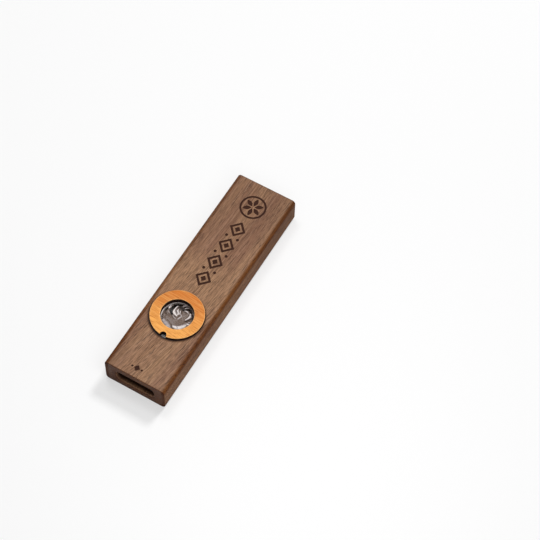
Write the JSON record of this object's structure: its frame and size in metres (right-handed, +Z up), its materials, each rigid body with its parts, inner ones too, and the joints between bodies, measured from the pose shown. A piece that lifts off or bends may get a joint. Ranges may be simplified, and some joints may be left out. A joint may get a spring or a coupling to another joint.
{
  "type": "kazoo",
  "caption": "Flat wooden kazoo with rounded long edges, a straight air channel, and a clear membrane held in a round seat by a notched plywood ring.",
  "frame": {"origin": "centre of the underside, below the middle of the body", "axes": "+X along the body from the mouth end to the open end, +Y across the body, +Z up from the underside to the membrane's face"},
  "size_m": [0.12, 0.032, 0.0161],
  "materials": {
    "walnut": "sanded and oiled, satin, open pores along the length",
    "plywood": "amber lacquered plywood face, laser-cut edge burnt dark brown",
    "carrier_white": "plain white sheet, matt",
    "clear_film": "thin clear film, glossy and crinkled"
  },
  "bodies": {
    "body": {"body_upper": "walnut", "body_lower": "walnut"},
    "membrane": {"membrane_carrier": "carrier_white", "membrane_film": "clear_film"},
    "ring": {"retaining_ring": "plywood"}
  },
  "joints": [
    {"name": "ring_lift", "type": "slide", "parent": "body", "child": "ring", "axis": [0, 0, 1], "range_m": [0, 0.012]},
    {"name": "membrane_lift", "type": "slide", "parent": "body", "child": "membrane", "axis": [0, 0, 1], "range_m": [0, 0.006]}
  ],
  "couplings": [
    {"joint": "membrane_lift", "follows": "ring_lift", "ratio": 0.5}
  ]
}
